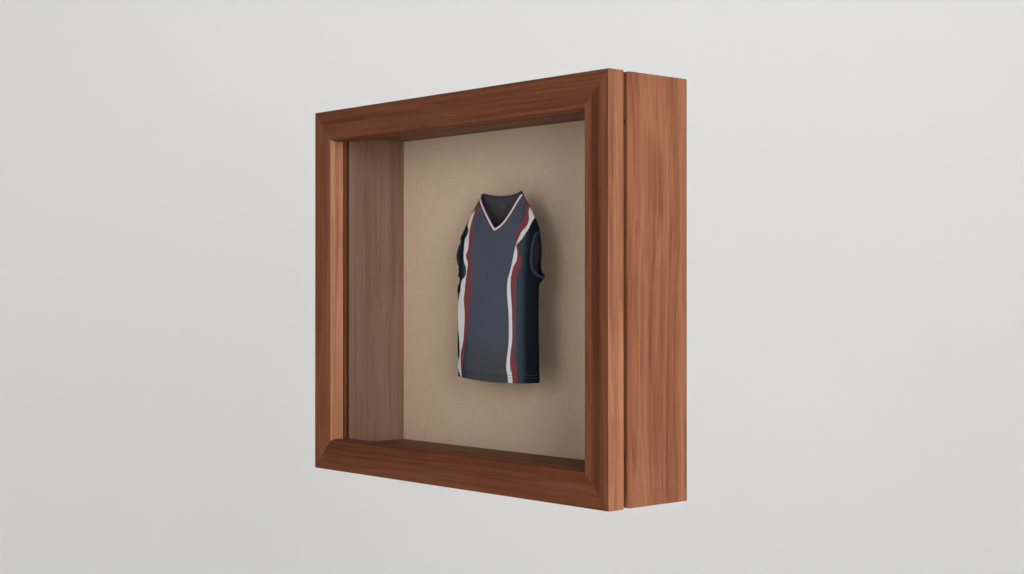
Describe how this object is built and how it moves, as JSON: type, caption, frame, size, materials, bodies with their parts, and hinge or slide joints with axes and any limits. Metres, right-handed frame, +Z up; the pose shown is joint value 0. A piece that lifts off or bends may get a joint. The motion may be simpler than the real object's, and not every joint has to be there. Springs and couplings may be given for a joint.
{
  "type": "jersey display frame",
  "caption": "Wall-hung shadow-box display case: mitred wood case with a hinged glazed door, linen backing, and a small sleeveless jersey held out on a form.",
  "frame": {"origin": "centre of the case's flat back face, where it meets the wall", "axes": "+Z up; +Y into the wall, out of the back; the glazed door faces -Y; +X to the right as seen from the front"},
  "size_m": [0.7013, 0.16, 0.6],
  "materials": {
    "walnut": "oiled, satin",
    "walnut_inner": "oiled, satin",
    "birch_ply": "sawn",
    "glass": "clear, polished",
    "black_rubber": "matt",
    "bright_steel": "zinc plated",
    "brass": "brushed",
    "brass_screws": "turned",
    "hardboard": "smooth pressed fibre",
    "grey_board": "pressed board",
    "linen": "plain weave",
    "magnet_cups": "nickel plated",
    "seal_foam": "closed-cell foam",
    "zinc_plate": "zinc plated",
    "jersey_knit": "fine knit",
    "form_foam": "black foam",
    "post_aluminium": "turned"
  },
  "bodies": {
    "case": {"case_top": "walnut", "case_bottom": "walnut", "case_left": "walnut", "case_right": "walnut", "case_corner_splines": "birch_ply", "liner_top": "walnut_inner", "liner_bottom": "walnut_inner", "liner_left": "walnut_inner", "liner_right": "walnut_inner", "back_panel": "hardboard", "backing_board": "grey_board", "backing_linen": "linen", "back_screws": "bright_steel", "upper_hinge_case_leaf": "brass", "lower_hinge_case_leaf": "brass", "upper_hinge_pin": "brass", "lower_hinge_pin": "brass", "hinge_case_screws": "brass_screws", "catch_magnets": "magnet_cups", "dust_seal_top": "seal_foam", "dust_seal_bottom": "seal_foam", "dust_seal_left": "seal_foam", "dust_seal_right": "seal_foam", "hanger_plates": "zinc_plate", "hanger_screws": "bright_steel", "jersey_front": "jersey_knit", "jersey_back": "jersey_knit", "jersey_form": "form_foam", "form_posts": "post_aluminium", "form_bolts": "bright_steel"},
    "door": {"door_top_rail": "walnut", "door_bottom_rail": "walnut", "door_left_stile": "walnut", "door_right_stile": "walnut", "door_corner_keys": "birch_ply", "glass_pane": "glass", "glass_setting_blocks": "black_rubber", "glazing_bead_top": "walnut", "glazing_bead_bottom": "walnut", "glazing_bead_left": "walnut", "glazing_bead_right": "walnut", "bead_brads": "bright_steel", "upper_hinge_door_leaf": "brass", "lower_hinge_door_leaf": "brass", "hinge_door_screws": "brass_screws", "catch_strikes": "bright_steel"}
  },
  "joints": [
    {"name": "door_hinge", "type": "hinge", "parent": "case", "child": "door", "pos_m": [-0.349, -0.1255, 0], "axis": [0, 0, -1], "range_deg": [0, 180]}
  ]
}
